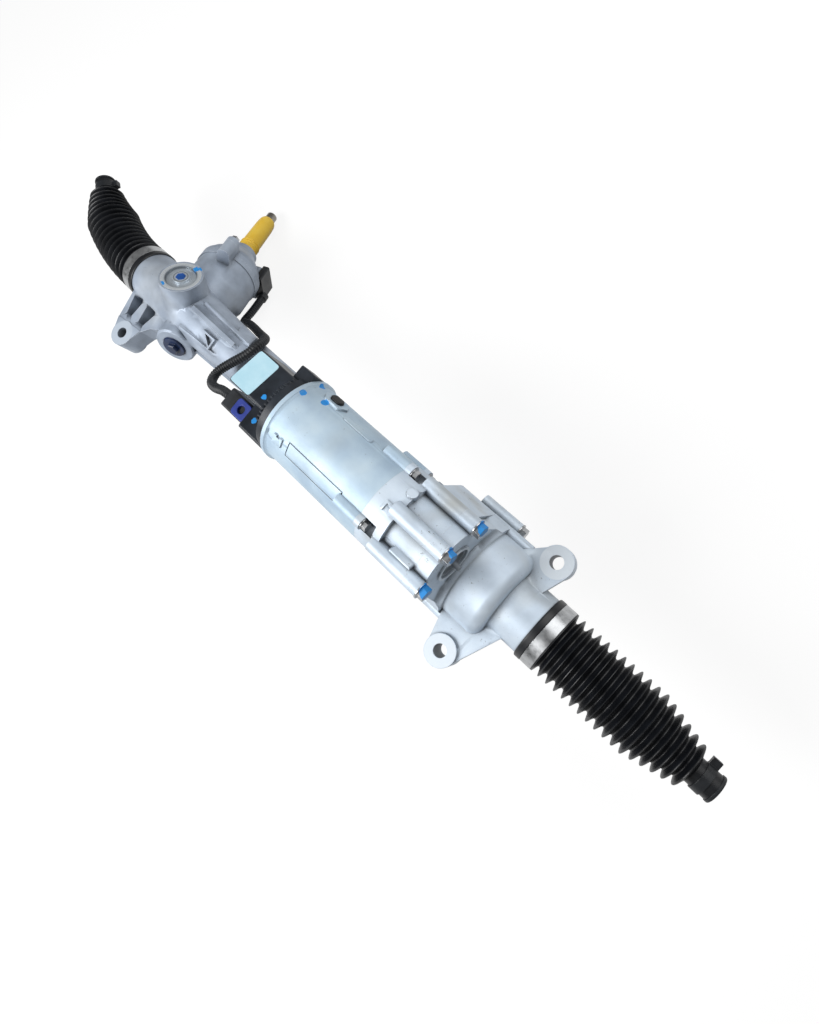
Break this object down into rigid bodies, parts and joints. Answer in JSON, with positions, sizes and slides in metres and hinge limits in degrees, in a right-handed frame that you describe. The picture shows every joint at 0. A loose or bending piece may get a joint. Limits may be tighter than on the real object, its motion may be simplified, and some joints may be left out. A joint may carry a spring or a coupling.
{
  "type": "steering rack",
  "caption": "Belt-driven electric power steering rack with a parallel motor, control unit, ball nut, slanted pinion and input shaft, rubber boots and mounting ears.",
  "frame": {"origin": "centre of the left mounting hole, on the plane where the ears sit on the subframe", "axes": "+X along the rack towards the motor end, +Z along the mounting bolts towards the motor, +Y across, towards the input shaft"},
  "size_m": [0.9725, 0.2532, 0.239],
  "materials": {
    "cast_aluminium": "sand-cast, matt silver",
    "motor_aluminium": "die-cast, satin",
    "machined_aluminium": "turned",
    "steel": "ground steel",
    "plated_steel": "zinc plated",
    "laminated_steel": "stacked sheet",
    "magnet": "sintered",
    "copper": "enamelled copper wire",
    "bronze": "bearing bronze",
    "blue_paint": "dark blue coat",
    "blue_plastic": "moulded",
    "yellow_plastic": "protective sleeve",
    "black_plastic": "moulded, slight sheen",
    "black_rubber": "bellows rubber",
    "seal_rubber": "matt",
    "belt_rubber": "toothed, fabric faced",
    "circuit_board": "green board"
  },
  "bodies": {
    "housing": {"pinion_housing": "cast_aluminium", "rack_bush": "bronze", "yoke": "machined_aluminium", "yoke_spring": "steel", "yoke_plug": "machined_aluminium", "yoke_plug_cap": "blue_plastic", "pinion_lower_bearing": "steel", "pinion_upper_bearing": "steel", "pinion_bearing_retainer": "steel", "pinion_seal": "seal_rubber", "pinion_lower_cap": "blue_paint", "sensor_board": "circuit_board", "sensor_housing": "cast_aluminium", "input_seal": "seal_rubber", "sensor_bolts": "plated_steel", "motor_housing": "motor_aluminium", "stator_core": "laminated_steel", "stator_windings": "copper", "motor_rear_bearing": "steel", "motor_front_bearing": "steel", "drive_belt": "belt_rubber", "nut_bearing": "steel", "nut_bearing_ring": "steel", "belt_housing": "cast_aluminium", "gear_housing": "cast_aluminium", "shaft_end_cover": "black_plastic", "drive_bolts": "plated_steel", "motor_screws": "plated_steel", "tube_screws": "plated_steel", "ecu_cover": "black_plastic", "ecu_board": "circuit_board", "boot_right": "black_rubber", "boot_left": "black_rubber", "clamp_right": "plated_steel", "clamp_left": "plated_steel", "small_clamp_right": "black_plastic", "small_clamp_left": "black_plastic", "end_plug_right": "black_plastic", "end_plug_left": "black_plastic", "sensor_plug": "black_plastic", "ecu_plug": "black_plastic", "sensor_harness": "black_rubber", "ecu_plug_lever": "blue_plastic", "motor_plug": "black_plastic"},
    "motor": {"motor_shaft": "steel", "rotor_core": "laminated_steel", "motor_pulley": "steel"},
    "nut": {"ball_nut": "steel", "nut_pulley": "machined_aluminium", "nut_lock_ring": "steel"},
    "rack": {"rack_bar": "steel"},
    "pinion": {"pinion_shaft": "steel", "torsion_bar": "steel", "sensor_flux_rings": "steel"},
    "input": {"input_shaft": "steel", "sensor_magnet": "magnet", "shaft_sleeve": "yellow_plastic"}
  },
  "joints": [
    {"name": "motor_spin", "type": "hinge", "parent": "housing", "child": "motor", "pos_m": [0, 0.074, 0.085], "axis": [1, 0, 0], "range_deg": [-9290, 9290]},
    {"name": "nut_spin", "type": "hinge", "parent": "housing", "child": "nut", "pos_m": [0, 0.074, 0.012], "axis": [1, 0, 0], "range_deg": [-3344, 3344]},
    {"name": "rack_slide", "type": "slide", "parent": "housing", "child": "rack", "axis": [1, 0, 0], "range_m": [-0.065, 0.065]},
    {"name": "pinion_spin", "type": "hinge", "parent": "housing", "child": "pinion", "pos_m": [0.045, 0.06568, -0.00241], "axis": [-0.454, 0.7716, -0.4455], "range_deg": [-437, 437]},
    {"name": "input_twist", "type": "hinge", "parent": "pinion", "child": "input", "pos_m": [0.045, 0.06568, -0.00241], "axis": [-0.454, 0.7716, -0.4455], "range_deg": [-4.5, 4.5], "stiffness_Nm_per_rad": 143}
  ],
  "couplings": [
    {"joint": "motor_spin", "follows": "rack_slide", "rad_per_m": -2493.3},
    {"joint": "nut_spin", "follows": "rack_slide", "rad_per_m": -897.6},
    {"joint": "pinion_spin", "follows": "rack_slide", "rad_per_m": 117.24}
  ]
}
